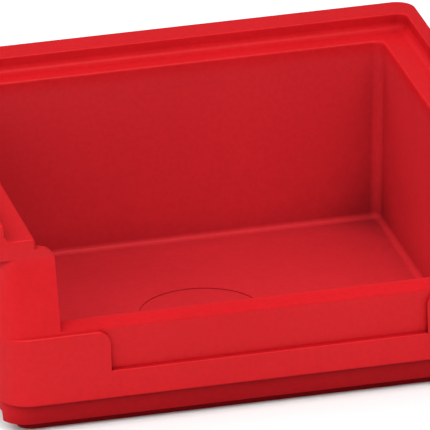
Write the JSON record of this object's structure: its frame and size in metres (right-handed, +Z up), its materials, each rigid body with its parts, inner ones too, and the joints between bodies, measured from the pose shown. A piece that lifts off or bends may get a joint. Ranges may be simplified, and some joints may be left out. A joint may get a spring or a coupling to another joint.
{
  "type": "stackable storage bin",
  "caption": "Open-front stacking bin with hollow walls, a sunk stacking ledge, a low front wall with a label recess and an inset foot.",
  "frame": {"origin": "middle of the footprint, on the surface the bin stands on", "axes": "+X to the right seen from the open front, +Y to the rear, +Z up"},
  "size_m": [0.105, 0.096, 0.042],
  "materials": {
    "red_polypropylene": "satin moulded surface"
  },
  "bodies": {
    "root": {"floor_panel": "red_polypropylene", "front_base_band": "red_polypropylene", "front_foot": "red_polypropylene", "front_inner_wall": "red_polypropylene", "front_lip": "red_polypropylene", "label_recess_panel": "red_polypropylene", "label_strip": "red_polypropylene", "left_base_step": "red_polypropylene", "left_foot": "red_polypropylene", "left_hook_end": "red_polypropylene", "left_inner_wall": "red_polypropylene", "left_label_block": "red_polypropylene", "left_ledge": "red_polypropylene", "left_lip": "red_polypropylene", "left_outer_wall": "red_polypropylene", "left_pillar": "red_polypropylene", "rear_base_step": "red_polypropylene", "rear_foot": "red_polypropylene", "rear_hook": "red_polypropylene", "rear_inner_wall": "red_polypropylene", "rear_ledge": "red_polypropylene", "rear_lip": "red_polypropylene", "rear_outer_wall": "red_polypropylene", "rear_rim_top": "red_polypropylene", "right_base_step": "red_polypropylene", "right_foot": "red_polypropylene", "right_hook_end": "red_polypropylene", "right_inner_wall": "red_polypropylene", "right_label_block": "red_polypropylene", "right_ledge": "red_polypropylene", "right_lip": "red_polypropylene", "right_outer_wall": "red_polypropylene", "right_pillar": "red_polypropylene"}
  },
  "joints": []
}
